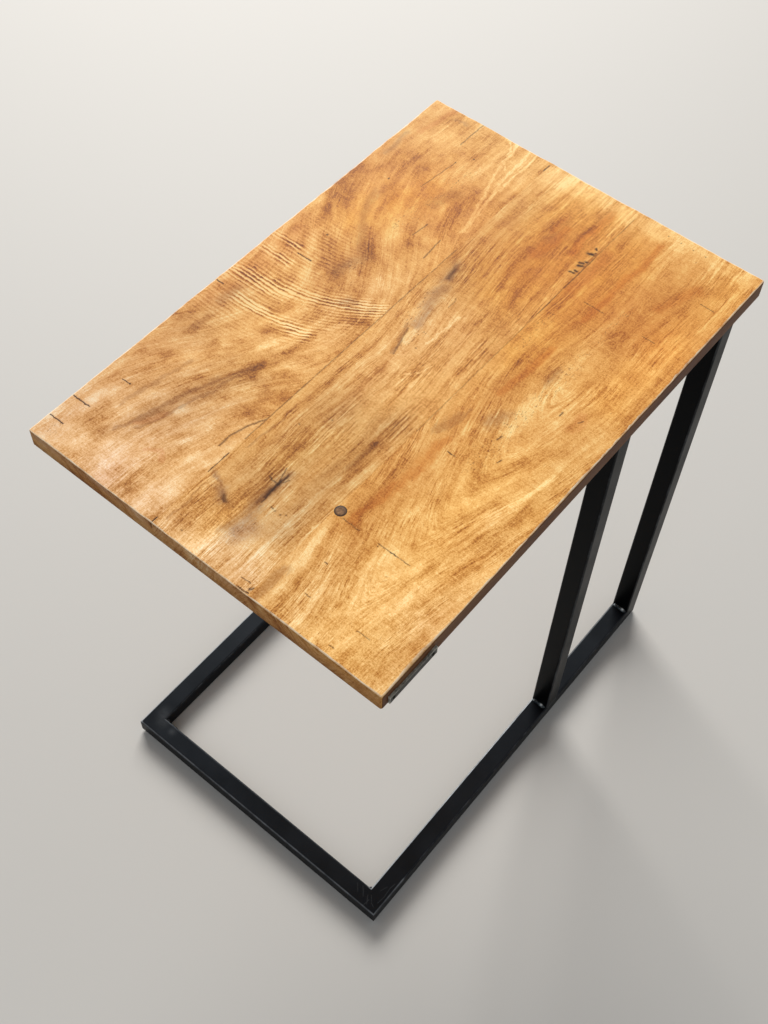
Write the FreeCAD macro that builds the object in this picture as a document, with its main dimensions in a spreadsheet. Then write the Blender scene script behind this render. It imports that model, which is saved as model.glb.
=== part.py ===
import FreeCAD, Part

import math
import os

import Sketcher
from FreeCAD import Rotation, Vector

# C shaped side table: a top of three glued boards on a cantilevered frame of square steel tube.
#
# Millimetres. X runs across the table: both uprights stand at +X and the C is open towards -X.
# Y runs along the grain, from the front edge to the back edge. Z is up, and the origin is on the
# floor under the middle of the top.

X, Y, Z = Vector(1, 0, 0), Vector(0, 1, 0), Vector(0, 0, 1)

# The driving dimensions. Each is a cell of the sheet, under this alias.
SIZES = {
    "table_height": 550,  # floor to the upper face of the top
    # the top
    "top_width": 348,  # across the three boards
    "top_length": 500,  # along the grain
    "top_thickness": 18,
    "left_board_width": 131,
    "right_board_width": 123,  # the middle board takes what is left
    "corner_radius": 2,  # the four corners of the top, seen from above
    "upper_edge_radius": 1.5,  # eased rim of the upper face
    "lower_edge_chamfer": 0.8,  # eased rim of the underside
    # round plug let into the top beside the right-hand glue line
    "plug_diameter": 9.6,
    "plug_depth": 8,
    "plug_past_seam": 1.1,  # how far it reaches over the glue line
    "plug_from_front": 96.8,
    "plug_clearance": 0.1,  # all round, between the plug and its bore
    # the steel frame
    "tube_side": 20,
    "tube_wall": 1.5,
    "tube_corner": 2,  # outer corner radius of the tube; the bore's corners are sharp
    "side_overhang": 9,  # how far the top stands past the frame, left and right
    "end_overhang": 12.5,  # how far the top stands past the frame, front and back
    "upright_gap": 138,  # clear distance between the two uprights
    # fillet welds
    "weld_leg": 3,
    "weld_taper": 2,  # length of a bead's two tapered ends
    # floor pads
    "pad_side": 16,
    "pad_thickness": 2,
    # push-in cap in the open end of the left base rail
    "cap_thickness": 2,
    "cap_sleeve_length": 14,
    "cap_sleeve_side": 15,
    "cap_sleeve_wall": 1.5,
    "cap_fin_thickness": 1,
    "cap_fin_pitch": 4,
    "cap_clearance": 0.1,  # all round, between the fins and the tube
    # screws that hold the top, put in from below through the tube
    "screw_diameter": 4.5,
    "screw_bite": 10,  # how deep the screws go into the boards
    "screw_tip_length": 4,
    "screw_head_diameter": 9,
    "screw_head_height": 2.8,
    "screw_head_slope": 1.5,  # how much narrower the head gets, all round, from rim to top
    "screw_clearance": 0.25,  # all round, between a screw and the tube's holes
    "pilot_clearance": 0.05,  # all round, between a screw and its hole in the wood
    "recess_span": 5,
    "recess_width": 1.2,
    "recess_depth": 1.6,
    # blank metal plate on the right-hand edge of the top
    "plate_length": 52,
    "plate_height": 7.5,
    "plate_thickness": 1.8,
    "plate_from_front": 7,
    "plate_rise": 0.2,  # above the chamfer of the underside
    "ear_length": 9,  # the two ends of the plate stand a little higher than its middle
    "ear_rise": 1.2,
    "pin_diameter": 1.4,
    "pin_length": 12,
    "pin_head_diameter": 3,
    "pin_head_height": 0.8,
    "pin_head_slope": 0.6,  # how much narrower the head gets, all round, from rim to top
    "pin_clearance": 0.05,  # all round, between a pin and its holes
}

# Places that several pieces share, as expressions over the sheet.
TUBE_FLAT = "(Sizes.tube_side - 2 * Sizes.tube_corner)"
TUBE_BORE = "(Sizes.tube_side - 2 * Sizes.tube_wall)"
FRAME_WIDTH = "(Sizes.top_width - 2 * Sizes.side_overhang)"
FRAME_LENGTH = "(Sizes.top_length - 2 * Sizes.end_overhang)"
SIDE_LINE = f"({FRAME_WIDTH} / 2 - Sizes.tube_side / 2)"  # middle of the left and right tubes
END_LINE = f"({FRAME_LENGTH} / 2 - Sizes.tube_side / 2)"  # middle of the front and back tubes
INNER_SIDE = f"({FRAME_WIDTH} / 2 - Sizes.tube_side)"
INNER_END = f"({FRAME_LENGTH} / 2 - Sizes.tube_side)"
BASE_TOP = "(Sizes.pad_thickness + Sizes.tube_side)"
BASE_LEVEL = "(Sizes.pad_thickness + Sizes.tube_side / 2)"  # middle height of the base tubes
UNDERSIDE = "(Sizes.table_height - Sizes.top_thickness)"
FRAME_UNDERSIDE = f"({UNDERSIDE} - Sizes.tube_side)"
FRAME_LEVEL = f"({UNDERSIDE} - Sizes.tube_side / 2)"  # middle height of the top frame's tubes
UPRIGHT_LINE = f"({END_LINE} - Sizes.tube_side - Sizes.upright_gap)"  # middle of the front upright
MIDDLE_WIDTH = "(Sizes.top_width - Sizes.left_board_width - Sizes.right_board_width)"
LEFT_BOARD_X = "(Sizes.left_board_width / 2 - Sizes.top_width / 2)"
MIDDLE_BOARD_X = "((Sizes.left_board_width - Sizes.right_board_width) / 2)"
RIGHT_BOARD_X = "(Sizes.top_width / 2 - Sizes.right_board_width / 2)"
BOARD_MIDDLES = LEFT_BOARD_X, MIDDLE_BOARD_X, RIGHT_BOARD_X
SEAM_X = "(Sizes.top_width / 2 - Sizes.right_board_width)"  # the right-hand glue line
PLUG_X = f"({SEAM_X} + Sizes.plug_diameter / 2 - Sizes.plug_past_seam)"
PLUG_Y = "(Sizes.plug_from_front - Sizes.top_length / 2)"
PLATE_Y = "(Sizes.plate_from_front + Sizes.plate_length / 2 - Sizes.top_length / 2)"
PLATE_Z = f"({UNDERSIDE} + Sizes.lower_edge_chamfer + Sizes.plate_rise)"
PIN_REACH = "(Sizes.plate_length / 2 - Sizes.ear_length / 2)"  # plate's middle to a pin
PIN_Z = f"({PLATE_Z} + Sizes.plate_height / 2)"

ORIGIN = -1  # the sketch's horizontal axis, whose first point is the origin
START, END, CENTRE = 1, 2, 3
CUT_MARGIN = 5  # how far the wedge that cuts a mitre reaches past the tube

doc = FreeCAD.newDocument("c_shaped_side_table")
sheet = doc.addObject("Spreadsheet::Sheet", "Sizes")
for row, (alias, size) in enumerate(SIZES.items(), start=1):
    sheet.set(f"A{row}", alias)
    sheet.set(f"B{row}", str(size))
    sheet.setAlias(f"B{row}", alias)
doc.recompute()


# ---------------------------------------------------------------- sketches and features


def mm(expression):
    """The value of an expression over the sheet."""
    return float(sheet.evalExpression(str(expression)))


def new_body(label):
    body = doc.addObject("PartDesign::Body", label)
    body.Label = label
    return body


def origin_feature(body, role):
    """One of the body's own planes or axes, such as XY_Plane or Z_Axis."""
    return next(f for f in body.Origin.OriginFeatures if f.Role == role)


def new_sketch(body, name, plane="XY_Plane", offset=None):
    """An empty sketch on one of the body's origin planes, or raised along the plane's normal."""
    sketch = body.newObject("Sketcher::SketchObject", f"{body.Name}_{name}")
    sketch.AttachmentSupport = [(origin_feature(body, plane), "")]
    sketch.MapMode = "FlatFace"
    if offset:
        sketch.setExpression("AttachmentOffset.Base.z", offset)
    return sketch


def drive(sketch, kind, *where, size):
    """Adds a dimension to the sketch and ties it to an expression."""
    index = sketch.addConstraint(Sketcher.Constraint(kind, *where, mm(size)))
    name = f"size_{index}"
    sketch.renameConstraint(index, name)
    sketch.setExpression(f"Constraints.{name}", size)


def pin_point(sketch, geometry, point, x, y):
    """Holds a point of the sketch at (x, y), measured from the sketch's origin."""
    drive(sketch, "DistanceX", ORIGIN, START, geometry, point, size=x)
    drive(sketch, "DistanceY", ORIGIN, START, geometry, point, size=y)


def draw_circle(sketch, x, y, diameter):
    circle = Part.Circle(Vector(mm(x), mm(y), 0), Z, mm(diameter) / 2)
    index = sketch.addGeometry(circle)
    drive(sketch, "Diameter", index, size=diameter)
    pin_point(sketch, index, CENTRE, x, y)


def draw_outline(sketch, points, arcs=None):
    """Draws a closed outline through points given as pairs of expressions.

    arcs maps the number of a side to the x of its centre, for a side that is an arc.
    """
    arcs = arcs or {}
    corners = [Vector(mm(x), mm(y), 0) for x, y in points]
    sides = []
    for i, a in enumerate(corners):
        b = corners[(i + 1) % len(corners)]
        if i not in arcs:
            sides.append((sketch.addGeometry(Part.LineSegment(a, b)), START, END))
            continue
        cx = mm(arcs[i])
        cy = ((b.x - cx) ** 2 + b.y**2 - (a.x - cx) ** 2 - a.y**2) / (2 * (b.y - a.y))
        centre = Vector(cx, cy, 0)
        turns_left = (a - centre).cross(b - centre).z > 0
        first, last = (a, b) if turns_left else (b, a)
        angles = [math.atan2(p.y - cy, p.x - cx) for p in (first, last)]
        circle = Part.Circle(centre, Z, (a - centre).Length)
        index = sketch.addGeometry(Part.ArcOfCircle(circle, *angles))
        drive(sketch, "DistanceX", ORIGIN, START, index, CENTRE, size=arcs[i])
        sides.append((index, START, END) if turns_left else (index, END, START))
    for i, (geometry, start, end) in enumerate(sides):
        following, first, _ = sides[(i + 1) % len(sides)]
        sketch.addConstraint(Sketcher.Constraint("Coincident", geometry, end, following, first))
        pin_point(sketch, geometry, start, *points[i])


def draw_rectangle(sketch, width, height):
    """A rectangle centred on the sketch's origin."""
    right, top = f"({width}) / 2", f"({height}) / 2"
    left, bottom = f"-({width}) / 2", f"-({height}) / 2"
    draw_outline(sketch, [(left, bottom), (right, bottom), (right, top), (left, top)])


def draw_rounded_square(sketch, side, radius):
    """A square with rounded corners, centred on the sketch's origin."""
    half, r = mm(side) / 2, mm(radius)
    arcs, lines = [], []
    for quarter in range(4):
        turn = Rotation(Z, 90 * quarter)
        circle = Part.Circle(turn.multVec(Vector(half - r, half - r, 0)), Z, r)
        angle = quarter * math.pi / 2
        arcs.append(sketch.addGeometry(Part.ArcOfCircle(circle, angle, angle + math.pi / 2)))
        a = turn.multVec(Vector(half - r, half, 0))
        b = turn.multVec(Vector(r - half, half, 0))
        lines.append(sketch.addGeometry(Part.LineSegment(a, b)))
    for quarter in range(4):
        arc, line, following = arcs[quarter], lines[quarter], arcs[(quarter + 1) % 4]
        sketch.addConstraint(Sketcher.Constraint("Tangent", arc, END, line, START))
        sketch.addConstraint(Sketcher.Constraint("Tangent", line, END, following, START))
        direction = "Vertical" if quarter % 2 else "Horizontal"
        sketch.addConstraint(Sketcher.Constraint(direction, line))
        if quarter:
            sketch.addConstraint(Sketcher.Constraint("Equal", arcs[0], arc))
    opposite = (arcs[0], CENTRE, arcs[2], CENTRE, ORIGIN, START)
    sketch.addConstraint(Sketcher.Constraint("Symmetric", *opposite))
    drive(sketch, "Radius", arcs[0], size=radius)
    drive(sketch, "DistanceX", lines[1], START, lines[3], START, size=side)
    drive(sketch, "DistanceY", lines[2], START, lines[0], START, size=side)


def add_pad(body, sketch, length, down=False, symmetric=False):
    pad = body.newObject("PartDesign::Pad", f"{sketch.Name}_pad")
    pad.Profile = sketch
    pad.setExpression("Length", length)
    pad.Reversed = down
    pad.SideType = "Symmetric" if symmetric else "One side"
    return pad


def add_pocket(body, sketch, depth=None, reverse=False):
    """Cuts the sketch out of the body: to a depth below the sketch, or right through both ways."""
    pocket = body.newObject("PartDesign::Pocket", f"{sketch.Name}_pocket")
    pocket.Profile = sketch
    if depth is None:
        pocket.SideType = "Two sides"
        pocket.Type = "ThroughAll"
        pocket.Type2 = "ThroughAll"
    else:
        pocket.setExpression("Length", depth)
        pocket.Reversed = reverse
    before = pocket.BaseFeature
    doc.recompute()
    assert pocket.Shape.Volume < before.Shape.Volume - 0.01, f"{pocket.Name} cuts nothing"
    return pocket


def add_revolution(body, sketch, angle=360):
    turned = body.newObject("PartDesign::Revolution", f"{sketch.Name}_revolution")
    turned.Profile = sketch
    turned.ReferenceAxis = (origin_feature(body, "Z_Axis"), [""])
    turned.Angle = angle
    return turned


def add_row(body, feature, pitch, count, backwards=False):
    """Repeats a feature along the body's Z axis; pitch and count are expressions."""
    row = body.newObject("PartDesign::LinearPattern", f"{feature.Name}_row")
    row.Originals = [feature]
    row.Direction = (origin_feature(body, "Z_Axis"), [""])
    row.Reversed = backwards
    row.setExpression("Occurrences", count)
    row.setExpression("Length", f"({pitch}) * (({count}) - 1)")
    body.Tip = row
    return row


def edges_where(feature, wanted):
    """The names of the feature's edges whose middle point passes the test."""
    doc.recompute()
    names = []
    for number, edge in enumerate(feature.Shape.Edges, start=1):
        middle = edge.valueAt((edge.FirstParameter + edge.LastParameter) / 2)
        if wanted(middle):
            names.append(f"Edge{number}")
    return names


def add_fillet(body, feature, radius, wanted):
    fillet = body.newObject("PartDesign::Fillet", f"{feature.Name}_fillet")
    fillet.Base = (feature, edges_where(feature, wanted))
    fillet.setExpression("Radius", radius)
    return fillet


def add_chamfer(body, feature, size, wanted):
    chamfer = body.newObject("PartDesign::Chamfer", f"{feature.Name}_chamfer")
    chamfer.Base = (feature, edges_where(feature, wanted))
    chamfer.setExpression("Size", size)
    return chamfer


def place(item, x, y, z, rotation=None):
    """Puts a piece at a place given as expressions, turned by a fixed rotation."""
    if rotation:
        item.Placement.Rotation = rotation
    for axis, where in zip("xyz", (x, y, z)):
        item.setExpression(f"Placement.Base.{axis}", where)


def facing(x_direction, z_direction):
    """The rotation that turns a piece's own X and Z to two square directions."""
    return Rotation(x_direction, Vector(), z_direction, "ZXY")


def near(a, b):
    return abs(a - b) < 0.001


# ---------------------------------------------------------------- the top


def make_board(label, width, centre, outer):
    """One board. outer is the side with a free edge: -1 left, 1 right, 0 for neither."""
    body = new_body(label)
    outline = new_sketch(body, "outline")
    draw_rectangle(outline, width, "Sizes.top_length")
    shape = add_pad(body, outline, "Sizes.top_thickness")
    half_width, half_length = mm(width) / 2, mm("Sizes.top_length") / 2
    thickness = mm("Sizes.top_thickness")

    def is_corner(point):
        return near(point.x, outer * half_width) and near(abs(point.y), half_length)

    def is_glued(point):
        return near(abs(point.x), half_width) and point.x * outer <= 0

    def on_rim(height):
        return lambda point: near(point.z, height) and not is_glued(point)

    if outer:
        shape = add_fillet(body, shape, "Sizes.corner_radius", is_corner)
    shape = add_fillet(body, shape, "Sizes.upper_edge_radius", on_rim(thickness))
    add_chamfer(body, shape, "Sizes.lower_edge_chamfer", on_rim(0))

    pilots = new_sketch(body, "pilots")
    pilot_diameter = "Sizes.screw_diameter + 2 * Sizes.pilot_clearance"
    draw_circle(pilots, "0", f"-{END_LINE}", pilot_diameter)
    draw_circle(pilots, "0", END_LINE, pilot_diameter)
    add_pocket(body, pilots, "Sizes.screw_bite", reverse=True)
    place(body, centre, "0", UNDERSIDE)
    return body


def cut_plug_bore(body, board_x):
    bore = new_sketch(body, "plug_bore", offset="Sizes.top_thickness")
    diameter = "Sizes.plug_diameter + 2 * Sizes.plug_clearance"
    draw_circle(bore, f"{PLUG_X} - {board_x}", PLUG_Y, diameter)
    add_pocket(body, bore, "Sizes.plug_depth")


def cut_pin_holes(body):
    """Two holes for the plate's pins in the free edge of the right-hand board."""
    holes = new_sketch(body, "pin_holes", "YZ_Plane", "Sizes.right_board_width / 2")
    diameter = "Sizes.pin_diameter + 2 * Sizes.pin_clearance"
    for side in "-", "+":
        along = f"{PLATE_Y} {side} {PIN_REACH}"
        draw_circle(holes, along, f"{PIN_Z} - {UNDERSIDE}", diameter)
    add_pocket(body, holes, "Sizes.pin_length - Sizes.plate_thickness")


def make_plug():
    body = new_body("wood_plug")
    outline = new_sketch(body, "outline")
    draw_circle(outline, "0", "0", "Sizes.plug_diameter")
    add_pad(body, outline, "Sizes.plug_depth")
    place(body, PLUG_X, PLUG_Y, "Sizes.table_height - Sizes.plug_depth")
    return body


# ---------------------------------------------------------------- the steel frame


def make_tube(label, length):
    """A square tube along the body's own Z, from its origin."""
    body = new_body(label)
    section = new_sketch(body, "section")
    draw_rounded_square(section, "Sizes.tube_side", "Sizes.tube_corner")
    draw_rectangle(section, TUBE_BORE, TUBE_BORE)
    add_pad(body, section, length)
    return body


def cut_mitre(body, name, plane, side, length=None):
    """Cuts one end of a tube at 45 degrees.

    plane holds the tube's axis and the mitre's slope. side is 1 where the full length stays on the
    plane's positive side and -1 where it stays on the other. The cut is at the tube's start, or at
    its far end where length is given.
    """
    level, away = ("0", "-") if length is None else (length, "+")
    toward = "+" if away == "-" else "-"
    reach = f"(Sizes.tube_side / 2 + {CUT_MARGIN})"
    long_edge, short_edge = f"{side} * {reach}", f"{-side} * {reach}"
    outside = f"{level} {away} {CUT_MARGIN}"
    inside = f"{level} {toward} (Sizes.tube_side + {CUT_MARGIN})"
    wedge = new_sketch(body, name, plane)
    draw_outline(wedge, [(long_edge, outside), (short_edge, outside), (short_edge, inside)])
    add_pocket(body, wedge)


def drill_screw_holes(body):
    """Holes through both walls of a top frame tube, one under the middle of each board."""
    holes = new_sketch(body, "screw_holes", "XZ_Plane")
    for board_x in BOARD_MIDDLES:
        along = f"{board_x} + {FRAME_WIDTH} / 2"
        draw_circle(holes, "0", along, "Sizes.screw_diameter + 2 * Sizes.screw_clearance")
    add_pocket(body, holes)


def make_end_rail(label, end, level):
    """A tube along X at the front (end -1) or the back (end 1), mitred at both ends."""
    body = make_tube(label, FRAME_WIDTH)
    cut_mitre(body, "left_mitre", "XZ_Plane", 1)
    cut_mitre(body, "right_mitre", "XZ_Plane", 1, FRAME_WIDTH)
    place(body, f"-{FRAME_WIDTH} / 2", f"{end} * {END_LINE}", level, facing(Y * end, X))
    return body


def make_side_rail(label, side, level, length=FRAME_LENGTH):
    """A tube along Y at the left (side -1) or the right (side 1), mitred at its front end."""
    body = make_tube(label, length)
    cut_mitre(body, "front_mitre", "XZ_Plane", 1)
    place(body, f"{side} * {SIDE_LINE}", f"-{FRAME_LENGTH} / 2", level, facing(X * side, Y))
    return body


def make_base():
    front = make_end_rail("base_front_rail", -1, BASE_LEVEL)
    left_length = f"({FRAME_LENGTH} - Sizes.cap_thickness)"
    left = make_side_rail("base_left_rail", -1, BASE_LEVEL, left_length)
    right = make_side_rail("base_right_rail", 1, BASE_LEVEL)
    # The back end turns up into the back upright, so its long edge is the lower one. The tube's
    # own Y points down here.
    cut_mitre(right, "upright_mitre", "YZ_Plane", 1, FRAME_LENGTH)
    return [front, left, right]


def make_uprights():
    front = make_tube("upright_front", f"{FRAME_UNDERSIDE} - {BASE_TOP}")
    place(front, SIDE_LINE, UPRIGHT_LINE, BASE_TOP)
    back = make_tube("upright_back", f"{FRAME_UNDERSIDE} - Sizes.pad_thickness")
    cut_mitre(back, "foot_mitre", "YZ_Plane", 1)
    place(back, SIDE_LINE, END_LINE, "Sizes.pad_thickness")
    return [front, back]


def make_top_frame():
    rails = []
    for name, end in ("front", -1), ("back", 1):
        rail = make_end_rail(f"top_{name}_rail", end, FRAME_LEVEL)
        drill_screw_holes(rail)
        rails.append(rail)
    for name, side in ("left", -1), ("right", 1):
        rail = make_side_rail(f"top_{name}_rail", side, FRAME_LEVEL)
        cut_mitre(rail, "back_mitre", "XZ_Plane", 1, FRAME_LENGTH)
        rails.append(rail)
    return rails


# ---------------------------------------------------------------- welds, as groups of beads


def make_bead():
    """A rounded bead with tapered ends, along Z, in the corner of the planes X=0 and Y=0."""
    body = new_body("weld_bead")
    profile = new_sketch(body, "profile", "XZ_Plane")
    end, full = f"{TUBE_FLAT} / 2", f"({TUBE_FLAT} / 2 - Sizes.weld_taper)"
    leg = "Sizes.weld_leg"
    draw_outline(profile, [("0", f"-{end}"), (leg, f"-{full}"), (leg, full), ("0", end)])
    add_revolution(body, profile, angle=90)
    return body


def make_flush_weld():
    """Fills the groove where a square tube end stands on another tube's rounded corner.

    The corner between the two tubes' faces is the body's Z axis; both tubes lie at -X.
    """
    body = new_body("flush_weld")
    groove = new_sketch(body, "groove")
    corners = [("0", "0"), ("-Sizes.tube_corner", "0"), ("0", "-Sizes.tube_corner")]
    draw_outline(groove, corners, arcs={1: "-Sizes.tube_corner"})
    add_pad(body, groove, TUBE_FLAT, symmetric=True)
    return body


def make_copies(label, seed, places):
    """Copies of a seed piece, each with its own place and rotation."""
    seed.Visibility = False
    copies = []
    for number, (x, y, z, rotation) in enumerate(places):
        copy = doc.addObject("App::Link", f"{label}_{number}")
        copy.setLink(seed)
        place(copy, x, y, z, rotation)
        copies.append(copy)
    return copies


def join_group(label, copies):
    """One node that holds several separate solids."""
    group = doc.addObject("Part::Compound", label)
    group.Label = label
    group.Links = copies
    return group


def bead_facing(a, b):
    """Turns a bead so that it lies in the corner that opens towards a and b."""
    return facing(a, a.cross(b))


def make_welds():
    bead, flush = make_bead(), make_flush_weld()
    upright_front_face = f"{UPRIGHT_LINE} - Sizes.tube_side / 2"
    upright_back_face = f"{UPRIGHT_LINE} + Sizes.tube_side / 2"
    inner_face, outer_face = INNER_SIDE, f"{FRAME_WIDTH} / 2"

    feet = make_copies("foot_bead", bead, [
        (SIDE_LINE, upright_front_face, BASE_TOP, bead_facing(-Y, Z)),
        (SIDE_LINE, upright_back_face, BASE_TOP, bead_facing(Y, Z)),
        (SIDE_LINE, INNER_END, BASE_TOP, bead_facing(-Y, Z)),
    ])
    feet += make_copies("foot_flush", flush, [
        (outer_face, UPRIGHT_LINE, BASE_TOP, bead_facing(X, Z)),
        (inner_face, UPRIGHT_LINE, BASE_TOP, bead_facing(-X, Z)),
    ])
    heads = make_copies("head_bead", bead, [
        (SIDE_LINE, upright_front_face, FRAME_UNDERSIDE, bead_facing(-Y, -Z)),
        (SIDE_LINE, upright_back_face, FRAME_UNDERSIDE, bead_facing(Y, -Z)),
        (SIDE_LINE, INNER_END, FRAME_UNDERSIDE, bead_facing(-Y, -Z)),
        (inner_face, END_LINE, FRAME_UNDERSIDE, bead_facing(-X, -Z)),
    ])
    heads += make_copies("head_flush", flush, [
        (outer_face, UPRIGHT_LINE, FRAME_UNDERSIDE, bead_facing(X, -Z)),
        (inner_face, UPRIGHT_LINE, FRAME_UNDERSIDE, bead_facing(-X, -Z)),
        (outer_face, END_LINE, FRAME_UNDERSIDE, bead_facing(X, -Z)),
        (SIDE_LINE, f"{FRAME_LENGTH} / 2", FRAME_UNDERSIDE, bead_facing(Y, -Z)),
    ])

    def corner_beads(name, level, corners):
        return make_copies(name, bead, [
            (f"{side} * {INNER_SIDE}", f"{end} * {INNER_END}", level, bead_facing(X * -side, Y * -end))
            for side, end in corners
        ])

    base = corner_beads("base_corner_bead", BASE_LEVEL, [(-1, -1), (1, -1)])
    top = corner_beads("top_corner_bead", FRAME_LEVEL, [(-1, -1), (1, -1), (1, 1), (-1, 1)])
    return [
        join_group("foot_welds", feet),
        join_group("head_welds", heads),
        join_group("base_corner_welds", base),
        join_group("top_corner_welds", top),
    ]


# ---------------------------------------------------------------- pads, cap, screws and plate


def make_pad(label, side, end):
    body = new_body(label)
    outline = new_sketch(body, "outline")
    draw_rectangle(outline, "Sizes.pad_side", "Sizes.pad_side")
    add_pad(body, outline, "Sizes.pad_thickness")
    place(body, f"{side} * {SIDE_LINE}", f"{end} * {END_LINE}", "0")
    return body


def make_cap():
    """Ribbed insert: its head covers the tube's end and its sleeve reaches into the tube."""
    body = new_body("left_rail_cap")
    head = new_sketch(body, "head")
    draw_rounded_square(head, "Sizes.tube_side", "Sizes.tube_corner")
    add_pad(body, head, "Sizes.cap_thickness")
    sleeve = new_sketch(body, "sleeve")
    draw_rectangle(sleeve, "Sizes.cap_sleeve_side", "Sizes.cap_sleeve_side")
    bore = "Sizes.cap_sleeve_side - 2 * Sizes.cap_sleeve_wall"
    draw_rectangle(sleeve, bore, bore)
    add_pad(body, sleeve, "Sizes.cap_sleeve_length", down=True)
    fin = new_sketch(body, "fin", offset="-Sizes.cap_fin_pitch / 2")
    fin_side = f"{TUBE_BORE} - 2 * Sizes.cap_clearance"
    draw_rectangle(fin, fin_side, fin_side)
    draw_rectangle(fin, bore, bore)
    first = add_pad(body, fin, "Sizes.cap_fin_thickness", down=True)
    count = "floor(Sizes.cap_sleeve_length / Sizes.cap_fin_pitch)"
    add_row(body, first, "Sizes.cap_fin_pitch", count, backwards=True)
    back_end = f"{FRAME_LENGTH} / 2 - Sizes.cap_thickness"
    place(body, f"-{SIDE_LINE}", back_end, BASE_LEVEL, facing(-X, Y))
    return body


def make_screws():
    """Pan-head wood screws; a screw's own origin is in the middle of its head's bearing face."""
    body = new_body("top_screw")
    profile = new_sketch(body, "profile", "XZ_Plane")
    head, shank = "Sizes.screw_head_diameter / 2", "Sizes.screw_diameter / 2"
    tip = "(Sizes.tube_side + Sizes.screw_bite)"
    draw_outline(profile, [
        ("0", "-Sizes.screw_head_height"),
        (f"{head} - Sizes.screw_head_slope", "-Sizes.screw_head_height"),
        (head, "0"),
        (shank, "0"),
        (shank, f"{tip} - Sizes.screw_tip_length"),
        ("0", tip),
    ])
    add_revolution(body, profile)
    recess = new_sketch(body, "recess", offset="-Sizes.screw_head_height")
    arm, half = "(Sizes.recess_span / 2)", "(Sizes.recess_width / 2)"
    cross = [
        (arm, f"-{half}"), (arm, half), (half, half), (half, arm),
        (f"-{half}", arm), (f"-{half}", half), (f"-{arm}", half), (f"-{arm}", f"-{half}"),
        (f"-{half}", f"-{half}"), (f"-{half}", f"-{arm}"), (half, f"-{arm}"), (half, f"-{half}"),
    ]
    draw_outline(recess, cross)
    add_pocket(body, recess, "Sizes.recess_depth", reverse=True)

    places = [
        (x, f"{end} * {END_LINE}", FRAME_UNDERSIDE, None)
        for end in (-1, 1)
        for x in BOARD_MIDDLES
    ]
    return join_group("top_screws", make_copies("top_screw_copy", body, places))


def make_plate():
    """A blank strip of metal with two slightly taller ends, each with a hole for a pin."""
    body = new_body("edge_plate")
    outline = new_sketch(body, "outline", "YZ_Plane")
    end, ear = "Sizes.plate_length / 2", "(Sizes.plate_length / 2 - Sizes.ear_length)"
    low, high = "Sizes.plate_height", "Sizes.plate_height + Sizes.ear_rise"
    draw_outline(outline, [
        (f"-{end}", "0"), (end, "0"), (end, high), (ear, high),
        (ear, low), (f"-{ear}", low), (f"-{ear}", high), (f"-{end}", high),
    ])
    add_pad(body, outline, "Sizes.plate_thickness")
    holes = new_sketch(body, "pin_holes", "YZ_Plane")
    for side in -1, 1:
        diameter = "Sizes.pin_diameter + 2 * Sizes.pin_clearance"
        draw_circle(holes, f"{side} * {PIN_REACH}", "Sizes.plate_height / 2", diameter)
    add_pocket(body, holes)
    place(body, "Sizes.top_width / 2", PLATE_Y, PLATE_Z)
    return body


def make_plate_pins():
    """Two short pins; a pin's own origin is under its head, and its head is at +Z."""
    body = new_body("plate_pin")
    profile = new_sketch(body, "profile", "XZ_Plane")
    head, shank = "Sizes.pin_head_diameter / 2", "Sizes.pin_diameter / 2"
    draw_outline(profile, [
        ("0", "-Sizes.pin_length"),
        (shank, "-Sizes.pin_length"),
        (shank, "0"),
        (head, "0"),
        (f"{head} - Sizes.pin_head_slope", "Sizes.pin_head_height"),
        ("0", "Sizes.pin_head_height"),
    ])
    add_revolution(body, profile)
    outer_face = "Sizes.top_width / 2 + Sizes.plate_thickness"
    places = [
        (outer_face, f"{PLATE_Y} {side} {PIN_REACH}", PIN_Z, facing(-Z, X)) for side in "-+"
    ]
    return join_group("edge_plate_pins", make_copies("plate_pin_copy", body, places))


# ---------------------------------------------------------------- the whole table

board_left = make_board("board_left", "Sizes.left_board_width", LEFT_BOARD_X, -1)
board_middle = make_board("board_middle", MIDDLE_WIDTH, MIDDLE_BOARD_X, 0)
board_right = make_board("board_right", "Sizes.right_board_width", RIGHT_BOARD_X, 1)
cut_plug_bore(board_middle, MIDDLE_BOARD_X)
cut_plug_bore(board_right, RIGHT_BOARD_X)
cut_pin_holes(board_right)

pieces = [board_left, board_middle, board_right, make_plug()]
pieces += make_base()
pieces += make_uprights()
pieces += make_top_frame()
pieces += make_welds()
pieces += [
    make_pad("pad_front_left", -1, -1),
    make_pad("pad_front_right", 1, -1),
    make_pad("pad_back_left", -1, 1),
    make_pad("pad_back_right", 1, 1),
    make_cap(),
    make_screws(),
    make_plate(),
    make_plate_pins(),
]
doc.recompute()

for item in doc.Objects:
    assert not {"Invalid", "Error"} & set(item.State), f"{item.Name} failed: {item.State}"
os.makedirs("parts", exist_ok=True)
for piece in pieces:
    shape = piece.Shape
    assert not shape.isNull() and shape.isValid() and shape.Solids, f"{piece.Label} has no solid"
for piece in pieces:
    piece.Shape.exportStep(f"parts/{piece.Label}.step")
    print(f"{piece.Label}: {len(piece.Shape.Solids)} solid(s), {piece.Shape.Volume:.0f} mm3")
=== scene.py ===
import math
from types import SimpleNamespace

import bmesh
import bpy
from mathutils import Matrix, Vector, noise as perlin


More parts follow.
